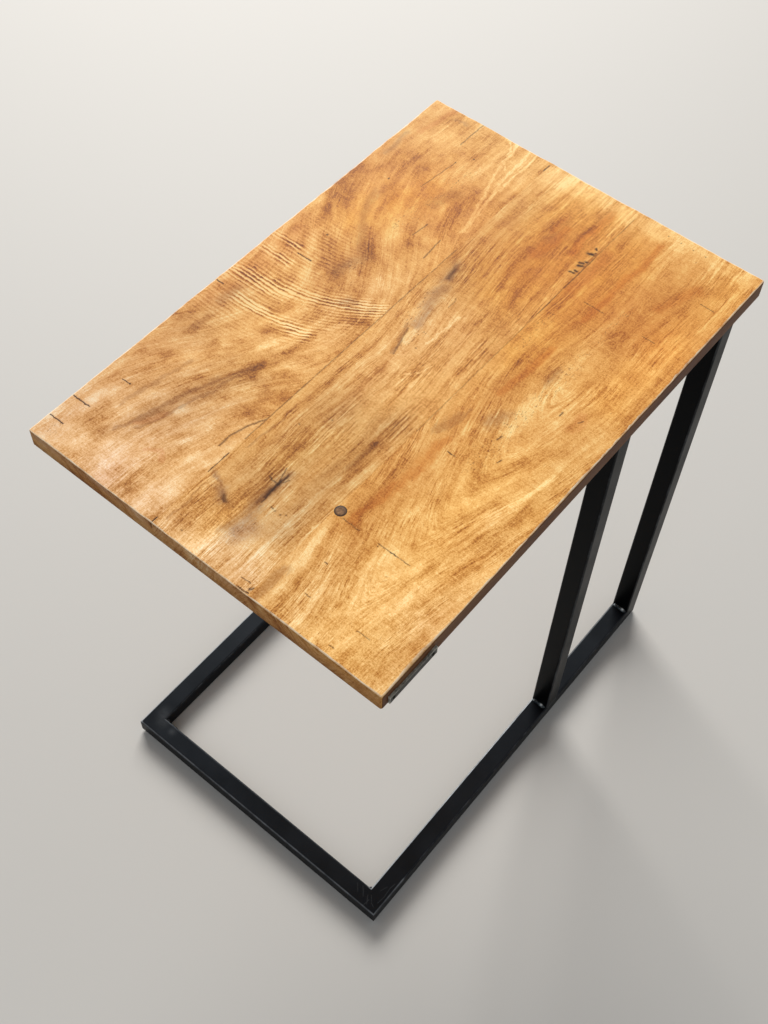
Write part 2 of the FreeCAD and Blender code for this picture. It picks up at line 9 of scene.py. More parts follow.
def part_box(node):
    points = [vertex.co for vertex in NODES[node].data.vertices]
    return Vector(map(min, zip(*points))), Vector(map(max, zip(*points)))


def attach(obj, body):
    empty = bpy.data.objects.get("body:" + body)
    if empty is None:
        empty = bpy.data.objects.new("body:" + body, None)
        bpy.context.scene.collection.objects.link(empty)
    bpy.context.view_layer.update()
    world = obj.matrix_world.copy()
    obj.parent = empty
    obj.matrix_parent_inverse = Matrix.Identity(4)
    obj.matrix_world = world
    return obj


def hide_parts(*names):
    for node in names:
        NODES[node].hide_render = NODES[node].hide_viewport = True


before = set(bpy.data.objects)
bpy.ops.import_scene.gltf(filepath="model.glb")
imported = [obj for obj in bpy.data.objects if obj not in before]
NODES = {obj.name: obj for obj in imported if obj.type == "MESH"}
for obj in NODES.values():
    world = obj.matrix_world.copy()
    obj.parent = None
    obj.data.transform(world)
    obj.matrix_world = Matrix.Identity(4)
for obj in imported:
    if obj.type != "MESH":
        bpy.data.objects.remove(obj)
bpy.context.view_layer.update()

# ---------------------------------------------------------------- camera, floor and light

CAMERA_PLACE = (0.41452, -0.56274, 1.36769)
CAMERA_AXES = (  # its right, up and back directions
    (0.7705935, 0.6370498, 0.0187953),
    (-0.5384130, 0.6349332, 0.5540499),
    (0.3410235, -0.4370669, 0.8322713),
)
LENS_MM = 47.246
SENSOR_MM = 36
FAR_CLIP = 50
FLOOR_REACH = 12
FLOOR_COLOUR = (196, 195, 192)
FLOOR_ROUGHNESS = 0.6
WORLD_TINT = (0.96, 0.98, 1, 1)
WORLD_STRENGTH = 0.32


def srgb(red, green, blue):
    """A colour given as 0 to 255 screen values, as the linear values that shaders take."""

    def linear(value):
        return ((value / 255 + 0.055) / 1.055) ** 2.4 if value > 10 else value / 255 / 12.92

    return linear(red), linear(green), linear(blue)


def new_object(name, data):
    item = bpy.data.objects.new(name, data)
    bpy.context.scene.collection.objects.link(item)
    return item


def make_camera():
    data = bpy.data.cameras.new("camera")
    data.lens = LENS_MM
    data.sensor_fit = "VERTICAL"
    data.sensor_height = SENSOR_MM
    data.clip_end = FAR_CLIP
    camera = new_object("camera", data)
    turn = Matrix(CAMERA_AXES).transposed().to_4x4()
    camera.matrix_world = Matrix.Translation(CAMERA_PLACE) @ turn
    bpy.context.scene.camera = camera


def make_floor():
    mesh = bpy.data.meshes.new("floor")
    turns = (-1, -1), (1, -1), (1, 1), (-1, 1)
    corners = [(x * FLOOR_REACH, y * FLOOR_REACH, 0) for x, y in turns]
    mesh.from_pydata(corners, [], [(0, 1, 2, 3)])
    floor = new_object("floor", mesh)
    material = bpy.data.materials.new("floor_plain")
    material.use_nodes = True
    shader = material.node_tree.nodes["Principled BSDF"]
    shader.inputs["Base Color"].default_value = (*srgb(*FLOOR_COLOUR), 1)
    shader.inputs["Roughness"].default_value = FLOOR_ROUGHNESS
    mesh.materials.append(material)


def make_area_light(name, place, target, size, power, tint):
    data = bpy.data.lights.new(name, "AREA")
    data.shape = "RECTANGLE"
    data.size, data.size_y = size
    data.energy = power
    data.color = tint
    light = new_object(name, data)
    light.location = place
    light.rotation_euler = (Vector(target) - Vector(place)).to_track_quat("-Z", "Y").to_euler()


def make_light():
    make_area_light("window", place=(-3.8, 3.8, 4.0), target=(0, 0, 0.4), size=(4.4, 3.2),
                    power=543, tint=(1, 0.96, 0.91))
    make_area_light("fill", place=(1.2, -2.2, 2.6), target=(0, 0, 0.3), size=(2.5, 2.5),
                    power=9, tint=(0.97, 0.98, 1))
    world = bpy.data.worlds.new("studio")
    bpy.context.scene.world = world
    world.use_nodes = True
    background = world.node_tree.nodes["Background"]
    background.inputs["Color"].default_value = WORLD_TINT
    background.inputs["Strength"].default_value = WORLD_STRENGTH


bpy.context.scene.view_settings.view_transform = "Standard"
make_camera()
make_floor()
make_light()


# ---------------------------------------------------------------- numbers that vary over a surface

class Field:
    """One output of a material's node tree, which can be reckoned with as a number can."""

    def __init__(self, socket):
        self.socket = socket

    def math(self, operation, *values):
        return add(self, "Math", dict(enumerate(values)), operation=operation)

    def __add__(self, other):
        return self.math("ADD", self, other)

    def __mul__(self, other):
        return self.math("MULTIPLY", self, other)

    def __sub__(self, other):
        return self.math("SUBTRACT", self, other)

    def __rsub__(self, other):
        return self.math("SUBTRACT", other, self)

    __radd__, __rmul__ = __add__, __mul__

    def at_least(self, other):
        return self.math("MAXIMUM", self, other)

    def at_most(self, other):
        return self.math("MINIMUM", self, other)

    def clamped(self):
        return add(self, "Clamp", {0: self})

    def bell(self, reach):
        """1 where the field is 0, falling smoothly to nothing at about twice the reach."""
        part = self * (1 / reach)
        return self.math("POWER", math.exp(-1), part * part)

    def between(self, start, end):
        """Rises smoothly from 0 at start to 1 at end."""
        steps = {"Value": self, "From Min": start, "From Max": end}
        return add(self, "MapRange", steps, interpolation_type="SMOOTHSTEP", clamp=False)


def add(near, kind, inputs, output=0, **settings):
    """A new node in the tree that near belongs to; inputs are fields or plain values."""
    tree = near.socket.id_data
    node = tree.nodes.new("ShaderNode" + kind)
    for name, value in settings.items():
        setattr(node, name, value)
    for key, value in inputs.items():
        if isinstance(value, Field):
            tree.links.new(value.socket, node.inputs[key])
        else:
            node.inputs[key].default_value = value
    return Field(node.outputs[output])


def vector(operation, *values, output=0):
    return add(values[0], "VectorMath", dict(enumerate(values)), output, operation=operation)


def joined(x, y, z):
    return add(x, "CombineXYZ", {0: x, 1: y, 2: z})


def parts(place):
    first = add(place, "SeparateXYZ", {0: place})
    return [Field(socket) for socket in first.socket.node.outputs]


def from_above(place):
    return vector("MULTIPLY", place, (1, 1, 0))


def noise(place, size, seed, detail=2.0, roughness=0.5, output=0):
    """Noise between about -0.5 and 0.5, in patches of the given size in mm along x, y and z.

    Output 0 is one number, and output 1 three of them, as a vector.
    """
    offset = (seed * 7.3, seed * 3.1, seed * 5.7)
    scaled = vector("MULTIPLY_ADD", place, tuple(1 / s for s in size), offset)
    settings = {"Vector": scaled, "Scale": 1, "Detail": detail, "Roughness": roughness}
    raw = add(place, "TexNoise", settings, output)
    return vector("SUBTRACT", raw, (0.5, 0.5, 0.5)) if output else raw - 0.5


def ramp(field, stops):
    """Colours along a field, from (value, screen colour) pairs."""
    result = add(field, "ValToRGB", {0: field})
    band = result.socket.node.color_ramp
    while len(band.elements) < len(stops):
        band.elements.new(0.5)
    for element, (value, colour) in zip(band.elements, stops):
        element.position, element.color = value, (*srgb(*colour), 1)
    return result


def tinted(colour, amount, shade, blend="MIX"):
    """A colour mixed with, or multiplied by, a shade where the amount is 1."""
    shade = shade if isinstance(shade, Field) else (*shade, 1)
    factor, base, other, result = 0, 6, 7, 2  # the Mix node's sockets for colours
    inputs = {factor: amount, base: colour, other: shade}
    return add(colour, "Mix", inputs, result, data_type="RGBA", blend_type=blend)


def line_distance(place, points):
    """How far a place is, seen from above, from a line through the points."""
    nearest = None
    for (x, y), (x_end, y_end) in zip(points, points[1:] or points):
        off = vector("SUBTRACT", place, (x, y, 0))
        run = (x_end - x, y_end - y)
        square = run[0] ** 2 + run[1] ** 2
        if square:
            along = vector("DOT_PRODUCT", off, (run[0] / square, run[1] / square, 0), output=1)
            along = along.clamped()
            back = add(along, "VectorMath", {0: (-run[0], -run[1], 0), 3: along}, operation="SCALE")
            off = vector("ADD", off, back)
        far = vector("LENGTH", off, output=1)
        nearest = nearest.at_most(far) if nearest else far
    return nearest


def marks(place, strokes, fray=0):
    """Soft strokes on a surface, each with its half width and the points (x, y) of its line, in mm."""
    nearest = None
    for width, *points in strokes:
        far = line_distance(place, points) * (1 / width)
        nearest = nearest.at_most(far) if nearest else far
    return (nearest + fray).at_least(0).bell(1)


def new_material(name):
    """A material with its shader, and the place on the object in mm."""
    material = bpy.data.materials.new(name)
    material.use_nodes = True
    tree = material.node_tree
    shader = tree.nodes["Principled BSDF"]
    coordinates = tree.nodes.new("ShaderNodeTexCoord")
    place = vector("MULTIPLY", Field(coordinates.outputs["Object"]), (1000, 1000, 1000))
    return material, shader, place


def set_inputs(shader, **values):
    """Sets a shader's sockets, named with _ for a space; a Field is linked."""
    for name, value in values.items():
        slot = shader.inputs[name.replace("_", " ").title().replace("Ior", "IOR")]
        if isinstance(value, Field):
            slot.id_data.links.new(value.socket, slot)
        else:
            slot.default_value = value


def bumped(height):
    """The surface's normal with small heights in mm."""
    return add(height, "Bump", {"Height": height, "Distance": 0.001, "Strength": 1})


def facing(place):
    """How much a surface faces along x, y and z, each from 0 to 1."""
    geometry = place.socket.id_data.nodes.new("ShaderNodeNewGeometry")
    return parts(vector("ABSOLUTE", Field(geometry.outputs["Normal"])))


# ---------------------------------------------------------------- wood

TOP_Z = 550  # height of the table's upper face, in mm
WOOD_TONES = [
    (0.00, (114, 58, 12)), (0.15, (159, 93, 28)), (0.30, (190, 122, 48)), (0.42, (211, 147, 70)),
    (0.52, (224, 163, 86)), (0.62, (234, 175, 98)), (0.75, (243, 191, 116)),
    (0.88, (250, 207, 134)), (1.00, (253, 220, 151)),
]
# the pale upper arris: part wear, part painted highlight
RIM_HIGHLIGHT_AND_WEAR_COLOUR = (255, 232, 200)
STAINS = {  # what a stained place is multiplied by; some are painted light, as noted
    "dark": (0.08, 0.05, 0.04),
    "umber": (0.34, 0.23, 0.15),
    "brown": (0.70, 0.62, 0.56),
    "grey": (0.63, 0.59, 0.68),
    "red": (0.84, 0.62, 0.52),
    "orange": (0.90, 0.74, 0.55),
    "pale": (1.0, 1.05, 1.3),
    # cream tone, and painted sheen in the pale strips along the back edges
    "cream_and_sheen": (1.04, 1.12, 1.25),
    "dun": (0.74, 0.76, 0.88),
    "deep": (0.83, 0.70, 0.52),
    "lit": (1.16, 1.22, 1.22),
    "dim": (0.86, 0.81, 0.80),
    "amber": (1.02, 0.95, 0.70),
    "gold": (1.19, 1.17, 0.99),
    # the wood's own changes of colour, with painted sheen and shade in some, as noted
    "rosy": (0.93, 0.84, 0.80),
    "straw": (1.03, 0.94, 0.76),
    # paler and bluer towards the front edge: the wood's colour with painted sheen in it
    "paler_front_and_sheen": (1.08, 1.20, 1.55),
    "tanned": (0.96, 0.88, 0.79),
    "pore": (0.52, 0.36, 0.22),
    # end grain, and painted shade on the end faces
    "end_grain_and_painted_shade": (0.66, 0.58, 0.52),
    "end_streak": (0.5, 0.41, 0.35),
    # painted shade on the side faces
    "painted_side_shade": (0.19, 0.125, 0.085),
}


def stained(colour, amount, stain):
    """The colour with one of the STAINS where the amount is 1."""
    return tinted(colour, amount, STAINS[stain], "MULTIPLY")


def wood_patterns(place, seed, grain):
    """The fields that a board's tone, colour and relief share.

    fibre is a place measured across and along the grain, on which noise gets long and thin. above
    is the place seen from above, and close and loose are that shaken a little and a lot, so that
    the strokes drawn on them are ragged. upper is 1 on the upper face.
    """
    wood = SimpleNamespace(place=place, above=from_above(place))
    wood.x, wood.y, wood.z = x, y, z = parts(place)
    wood.upper = z.between(541, 546)
    nearby = noise(place, (4, 6, 4), seed + 2, output=1)
    drift = noise(place, (22, 34, 22), seed + 1, output=1)
    swept = vector("MULTIPLY_ADD", drift, (12, 20, 0), wood.above)
    wood.close = vector("MULTIPLY_ADD", nearby, (1.6, 2.4, 0), wood.above)
    wood.loose = vector("MULTIPLY_ADD", nearby, (5, 8, 0), swept)
    bend = noise(place, (70, 150, 60), seed + 3, 1)
    waver = noise(place, (15, 40, 15), seed + 4, 2)
    wood.fibre = joined(grain(x, y, z) + bend * 16 + waver * 4, y, z + x * 0.4)
    wood.bands = noise(wood.fibre, (8, 90, 40), seed + 6, 3, 0.6)
    wood.lines = noise(wood.fibre, (1.8, 75, 30), seed + 7, 3, 0.65)
    wood.threads = noise(wood.fibre, (0.7, 12, 6), seed + 8, 2, 0.7)
    wood.mottle = noise(place, (11, 14, 11), seed + 9, 5, 0.65)
    wood.grit = noise(place, (1.1, 1.4, 1.1), seed + 10, 3, 0.7)
    wood.streaks = wood.lines * 2.4 + wood.threads * 1.6 + wood.mottle * 1.6
    return wood


def wood_tone(wood, seed, contrast, silkiness, lifts, figure):
    """How light a board is at each place, from 0 to 1."""
    broad = noise(wood.fibre, (26, 230, 60), seed + 5, 2)
    cross = noise(wood.place, (16, 1.3, 16), seed + 11, 2, 0.6)
    lively = 0.4 + noise(wood.fibre, (13, 48, 30), seed + 18, 2).between(-0.12, 0.2) * 1.3
    silk = noise(wood.fibre, (10, 30, 20), seed + 16, 4, 0.6)
    silk = silk + noise(wood.fibre, (34, 60, 40), seed + 17, 2)
    fine = (wood.lines + wood.threads * 0.9) * lively
    tone = 0.53 + broad * 0.5 + (wood.bands * 0.8 + fine) * contrast
    tone = tone + silk * silkiness + wood.mottle * 0.6 + wood.grit * 0.9 + cross * 0.3
    for amount, strokes in lifts:
        where = (marks(wood.loose, strokes) * (1.7 + wood.streaks) - 0.3).clamped() * wood.upper
        tone = tone + where * amount
    if figure:
        tone = tone + figure(wood) * wood.upper
    return tone


def wood_colour(wood, seed, tone, washes, stains):
    """The colour of a board's clean surface, with its broad washes and ragged stains; the paler front
    and the pale strip along the back carry painted sheen.
    """
    colour = ramp(tone, WOOD_TONES)
    hue = noise(wood.fibre, (22, 120, 40), seed + 12, 3) * 1.8
    colour = stained(colour, (hue - 0.05).clamped(), "rosy")
    colour = stained(colour, (-0.05 - hue).clamped(), "straw")
    # paler towards the front: partly the wood's colour, partly painted sheen
    colour = stained(colour, wood.y.between(-120, -240), "paler_front_and_sheen")
    colour = stained(colour, (wood.y - 140).bell(45), "tanned")
    for stain, amount, strokes in washes:
        where = marks(wood.loose, strokes) * (wood.bands + 1) * wood.upper
        colour = stained(colour, (where * amount).clamped(), stain)
    for stain, amount, strokes in stains:
        where = marks(wood.loose, strokes) * (1.5 + wood.streaks * 2) - 0.25
        where = where.clamped() * wood.upper
        colour = stained(colour, (where * amount).clamped(), stain)
    return colour


def wood_edges(wood, seed, colour):
    """The colour with end grain darkened partly as painted shade, side faces darkened as painted
    shade, and a pale rim that is part wear and part painted highlight, and where the ends are.
    """
    side, end, up = facing(wood.place)
    ends = end.between(0.55, 0.85)
    rays = noise(wood.place, (20, 9, 1.0), seed + 14, 3, 0.65)
    speck = noise(wood.place, (0.6, 0.6, 0.6), seed + 15, 1).between(0.12, 0.25)
    streaks = rays * 2.2 + speck * 0.5 + wood.z.between(543, 532) * 0.6
    # the end faces are darkened: part end grain, part painted shade
    colour = stained(colour, ends, "end_grain_and_painted_shade")
    colour = stained(colour, (ends * streaks).clamped(), "end_streak")
    # faces that face along x are darkened as painted shade
    colour = stained(colour, side.between(0.7, 0.9), "painted_side_shade")
    # the pale rim on the upper arris is part wear and part painted highlight
    rim = up.between(0.999, 0.975) * up.between(0.55, 0.8) * wood.z.between(540, 546)
    worn = (rim * (0.7 + wood.mottle * 3)).clamped()
    return tinted(colour, worn, srgb(*RIM_HIGHLIGHT_AND_WEAR_COLOUR)), ends


def make_wood(name, seed, grain, contrast, silkiness, washes, lifts, stains, cuts, specks,
              figure=None):
    """Oiled hardwood.

    grain gives the distance across the grain in mm. The washes and stains are a kind, an amount and
    strokes; a wash has soft edges and a stain ragged ones. The lifts, which are lighter or darker
    tone, and the cuts and specks, which are dark, are an amount and strokes. figure gives more
    tone, across the grain.
    """
    material, shader, place = new_material(name)
    wood = wood_patterns(place, seed, grain)
    tone = wood_tone(wood, seed, contrast, silkiness, lifts, figure)
    colour = wood_colour(wood, seed, tone, washes, stains)
    pores = noise(wood.fibre, (0.5, 5, 3), seed + 13, 2, 0.6).between(0.14, 0.27)
    pores = pores * (wood.mottle * 3 + 0.8)
    colour = stained(colour, (pores * 0.9).clamped(), "pore")
    dashes = noise(wood.close, (1.1, 3.2, 2), seed + 18, 2, 0.6).between(0.06, 0.2)
    for amount, strokes in specks:
        speckled = marks(wood.loose, strokes) * dashes * wood.upper
        colour = stained(colour, (speckled * amount).clamped(), "umber")
    fray = wood.threads * 1.1 + wood.grit * 1.1
    for amount, strokes in cuts:
        cut = marks(wood.close, strokes, fray) * wood.upper
        colour = stained(colour, (cut * (amount * 1.3)).clamped(), "dark")
    colour, ends = wood_edges(wood, seed, colour)
    rough = 0.5 + wood.mottle * 0.2 + wood.threads * 0.15 + ends * 0.2
    height = wood.threads * 0.07 - pores * 0.05
    set_inputs(shader, base_color=colour, normal=bumped(height), roughness=rough,
               specular_ior_level=0.12)
    return material


def left_grain(x, y, z):
    return x - (y + 20).bell(110) * 80 + (z - TOP_Z) * 0.7


def middle_grain(x, y, z):
    return x + y.between(-30, 150) * 14 - (z - TOP_Z) * 0.5


def right_grain(x, y, z):
    """Nested arches whose tips point to the front edge and whose arms run straight to the back."""
    line = 116  # the x that their tips lie on
    left, right = (line - x).at_least(0), (x - line).at_least(0)
    left_arm = left * left * (left + 18).math("POWER", left + 18, -1)
    right_arm = right * right * (right + 8).math("POWER", right + 8, -1)
    return left_arm + right_arm + y.between(60, -240) * 50 - (z - TOP_Z) * 0.6


def ripple(wood):
    """Bright and dark lines across the grain, where its fibres roll over: their sheen, which on real
    wood shifts with the view, is painted into the tone, and the folds get a painted highlight.
    """
    pitch = 3.7
    curl = (wood.x + 135).at_least(0) * (1 / 90)
    rolled = wood.y - curl * curl * 36 + wood.mottle * 5
    split = noise(joined(wood.x, rolled, 0), (26, 3.2, 60), 71, 2, 0.55)
    phase = rolled * (math.tau / pitch) + split * 6
    crests = phase.math("SINE", phase) * 0.24 + split * 0.5
    folds = marks(wood.above, [
        (8, (-168, -28), (-127, -20), (-86, -3), (-50, 15)),
        (5.5, (-146, -47), (-110, -46), (-78, -43)),
        (4, (-170, 26), (-146, 26)), (4, (-166, 8), (-140, 8)),
    ], wood.mottle * 2)
    around = marks(wood.above, [
        (30, (-150, -60), (-130, 40)), (14, (-90, -50), (-60, 0)),
    ], wood.mottle * 2)
    # the lines' light and dark, and the lift on the folds, are painted sheen and highlight
    return crests * (folds * 1.7 + around * 0.6) + folds * 0.2


LEFT = dict(
    contrast=0.45,
    silkiness=0.85,
    washes=[
        ("pale", 1.0, [(60, (-150, -230), (-130, -150))]),
        ("pale", 0.6, [(60, (-90, -230), (-60, -150)), (30, (-70, -60), (-65, 30))]),
        ("brown", 0.35, [(7, (-130, -216), (-117, -190), (-103, -150), (-93, -120), (-86, -95))]),
        ("lit", 0.5, [(24, (-85, -110), (-75, -50))]),
        # the pale strip along the back edge is painted sheen
        ("cream_and_sheen", 0.95, [(32, (-130, 250), (-50, 240))]),
        ("pale", 1.1, [(24, (-95, -250), (-43, -246))]),
        ("amber", 1.0, [(26, (-130, 85), (-105, 145))]),
        ("red", 0.4, [(26, (-168, -50), (-165, 40))]),
        ("dun", 0.5, [(30, (-110, -170), (-85, -110)), (22, (-150, -90), (-150, -50))]),
        ("dim", 0.5, [(16, (-168, 110), (-166, 230)), (22, (-115, 50), (-110, 0))]),
        ("dim", 1.0, [(26, (-172, -250), (-168, -110))]),
        ("deep", 0.35, [(28, (-100, 20), (-95, 160))]),
        ("grey", 0.6, [
            (4, (-74, 2), (-71, 12)), (7, (-104, 28), (-96, 54)), (2.5, (-166, 160), (-166, 195)),
            (2.5, (-143, 238), (-132, 240)),
        ]),
    ],
    lifts=[
        (0.16, [
            (6, (-98, -165), (-78, -130), (-72, -100)), (5, (-94, -76), (-90, -67)),
            (3, (-98, -27), (-92, -20)), (8, (-82, 30), (-66, 38)), (3, (-68, -24), (-60, -14)),
            (9, (-120, 2), (-112, 10)),
        ]),
        (0.16, [
            (15, (-106, 82), (-96, 110), (-90, 138)), (9, (-98, 168), (-92, 198)),
            (4, (-171, -235), (-171, 90)),
        ]),
        (0.25, [
            (1.6, (-51, 130), (-60, 190), (-66, 252)), (1.6, (-52, 140), (-72, 200), (-84, 252)),
            (1.4, (-56, 190), (-58, 252)), (1.0, (-70, 215), (-95, 252)),
        ]),
        (-0.17, [
            (6.5, (-115, -41), (-107, -30)), (6, (-104, -60), (-92, -53)),
            (11, (-127, 46), (-112, 26)), (5, (-58, -6), (-47, 1)),
            (4.5, (-150, -102), (-149, -78)), (5, (-123, -104), (-126, -92)),
            (4, (-84, -105), (-82, -88)), (4, (-78, -70), (-70, -40)), (4, (-148, 58), (-158, 80)),
        ]),
    ],
    stains=[
        ("brown", 0.9, [
            (2, (-124, -206), (-108, -150), (-97, -120), (-86, -95)),
            (1.6, (-113, -196), (-100, -150), (-88, -108)),
        ]),
        ("brown", 0.7, [
            (2.2, (-140, -182), (-132, -150), (-126, -120)),
            (4, (-105, 60), (-118, 75), (-130, 95), (-137, 122)),
        ]),
        ("brown", 0.6, [
            (4, (-150, -93), (-150, -78)), (5, (-155, -58), (-152, -40)),
            (8, (-92, 142), (-86, 162)),
        ]),
        ("red", 0.5, [
            (3, (-116, -190), (-108, -172)), (3, (-158, 205), (-152, 250)),
            (2, (-92, -205), (-84, -199), (-76, -204)),
        ]),
    ],
    specks=[
        (0.7, [
            (7, (-105, 18), (-92, 50)), (5, (-90, 12), (-84, 30)), (4, (-160, -250), (-160, -235)),
            (9, (-98, 100), (-90, 190)),
        ]),
    ],
    cuts=[
        (0.9, [
            (0.6, (-172, -229), (-158, -229)), (0.6, (-173, -205), (-155, -204.5)),
            (0.5, (-155, -169), (-147, -169)), (0.5, (-172, -45), (-165, -45)),
            (0.5, (-142, 21), (-127, 21)), (0.8, (-109, 194)), (0.8, (-99, 208)),
            (0.9, (-141, 140)), (0.8, (-137, 53)),
        ]),
        (0.5, [
            (0.6, (-120, 215), (-120, 250)), (0.4, (-113, 150), (-109, 193)),
            (0.7, (-58, 85), (-60, 110)), (0.6, (-82, 100), (-80, 118)),
            (0.9, (-53.5, -167), (-54, -155), (-50, -140), (-43, -125)),
            (0.5, (-43, -150), (-43, 110)),
        ]),
        (0.95, [
            (0.7, (-43, -250), (-43, -243)), (0.6, (-43, -190), (-43, -168)),
            (0.7, (-43.3, 237), (-43.3, 245)),
        ]),
    ],
    figure=ripple,
)
MIDDLE = dict(
    contrast=0.9,
    silkiness=0.3,
    washes=[
        ("pale", 0.7, [(40, (0, -30), (0, 30))]),
        ("lit", 0.9, [(12, (-8, -245), (-6, -200)), (12, (-5, -150), (0, -110))]),
        # the pale strip along the back edge is painted sheen
        ("cream_and_sheen", 0.7, [(24, (-40, 250), (20, 250))]),
        ("dun", 0.8, [(36, (0, -165), (0, -90)), (22, (30, -190), (30, -70))]),
        ("deep", 0.8, [(30, (20, 135), (30, 190))]),
        ("dun", 0.4, [(35, (-20, 90), (-20, 180))]),
        ("amber", 1.5, [(36, (10, 110), (16, 190))]),
        ("pale", 1.4, [(26, (-40, -250), (40, -250))]),
        ("lit", 0.5, [(18, (16, -100), (18, -20))]),
        ("grey", 0.7, [(5, (4, -214), (4, -180), (4, -155))]),
        ("grey", 0.9, [
            (6, (-17, -200), (-26, -196)), (3, (-26, -194), (-38, -186)), (5, (-14, 24), (-18, 45)),
            (6, (-20, 45), (-24, 66)), (6, (-27, 76), (-31, 97)), (9, (10, -218), (14, -208)),
        ]),
    ],
    lifts=[
        (0.18, [
            # the stroke along the back edge, at y 240, is painted sheen
            (9, (-8, -247), (0, -228)), (14, (-40, 240), (45, 240)), (5, (48, -247), (42, -215)),
        ]),
        (0.3, [
            (1.6, (3, 10), (7, 52)), (1.1, (49.5, -206), (49.5, -174)), (0.8, (9, -21), (22, -3)),
        ]),
        (0.12, [(3, (-12, 6), (-11, 24)), (3, (-18, 52), (-18, 64)), (3, (46, -130), (47, -30))]),
        (-0.16, [
            (2.5, (25, -150), (26, -95)), (3, (36, -125), (36, -90)), (2, (3, 182), (3, 203)),
            (2.5, (30, 165), (30, 205)), (2.5, (40, 5), (41, 23)), (2, (-8, -80), (-8, -20)),
            (3, (10, 100), (4, 150)),
        ]),
    ],
    stains=[
        ("brown", 0.8, [
            (1.3, (-36, -152), (-35, -100)), (1, (-36, -240), (-36, -200)),
            (2.5, (33, -120), (34, -90)), (8, (7, -196), (6.5, -188)), (3.4, (5, -184), (4, -168)),
            (3, (-2, -222), (-1, -200)),
        ]),
        ("brown", 1.5, [
            (2.5, (-16, -200), (-22, -196)), (3.5, (-27, 78), (-30, 94)),
            (1.8, (-12, -10), (-16, 4), (-20, 20)), (3, (5.5, -186), (4, -166)),
        ]),
        ("umber", 0.8, [
            (1.5, (5.5, -180), (4, -166), (4.5, -156)), (1.4, (-16, -201), (-19, -199)),
        ]),
        ("orange", 1.0, [
            (2.5, (5, 180), (5, 205)), (4, (32, 170), (34, 232)), (6, (10, 150), (14, 190)),
        ]),
    ],
    specks=[
        (0.8, [
            (5, (8, -218), (14, -204)), (3, (4, -184), (4, -170)), (4, (-12, -8), (-6, 20)),
            (6, (-22, 25), (-27, 60)),
        ]),
    ],
    cuts=[
        (0.7, [
            (1.3, (4, -165.5), (4.3, -162.5)), (0.7, (41, -248.2), (52, -248)),
            (1.0, (49, -245), (51, -242.5)),
        ]),
        (0.55, [
            (1.1, (5, -176), (4, -168)), (0.9, (4.5, -162), (4.8, -155)),
            (0.7, (2, -164.5), (-2, -165.4), (-4.5, -163.4)), (0.5, (3, -162), (-1, -150)),
            (0.5, (6, -161.5), (8, -157)), (0.6, (5.5, -185), (5, -176)),
            (0.8, (14, -183.7), (15.5, -183.7)), (0.8, (18.3, -184)), (0.8, (23.3, -184.2)),
            (0.6, (27, -182)), (0.8, (-4.5, -94)), (0.8, (-21, -113)), (0.7, (-22, -240)),
            (0.6, (-1, 4)), (0.6, (-9, 66)), (0.5, (38, -241), (46, -240.5)),
        ]),
        (0.35, [
            (1.4, (-15, -200.5), (-20, -198)), (1.0, (-11, -12), (-15, 2), (-19, 16)),
            (0.5, (-8, 55), (-8, 65)), (1.6, (-28, 80), (-30, 92)), (0.5, (-43, -150), (-43, 110)),
        ]),
        (0.8, [
            (1.2, (44, 152.5), (48, 153)), (1.2, (46.5, 156), (48.5, 156)),
            (1.7, (46, 162.5), (48.5, 164)), (1.4, (44.5, 166), (47.5, 167)),
            (1.2, (48, 169.5), (49.5, 170)), (1.7, (44.5, 179.5), (48, 180.5)), (1.1, (49, 183)),
            (0.9, (47.5, 187), (46, 188.5)),
        ]),
    ],
)
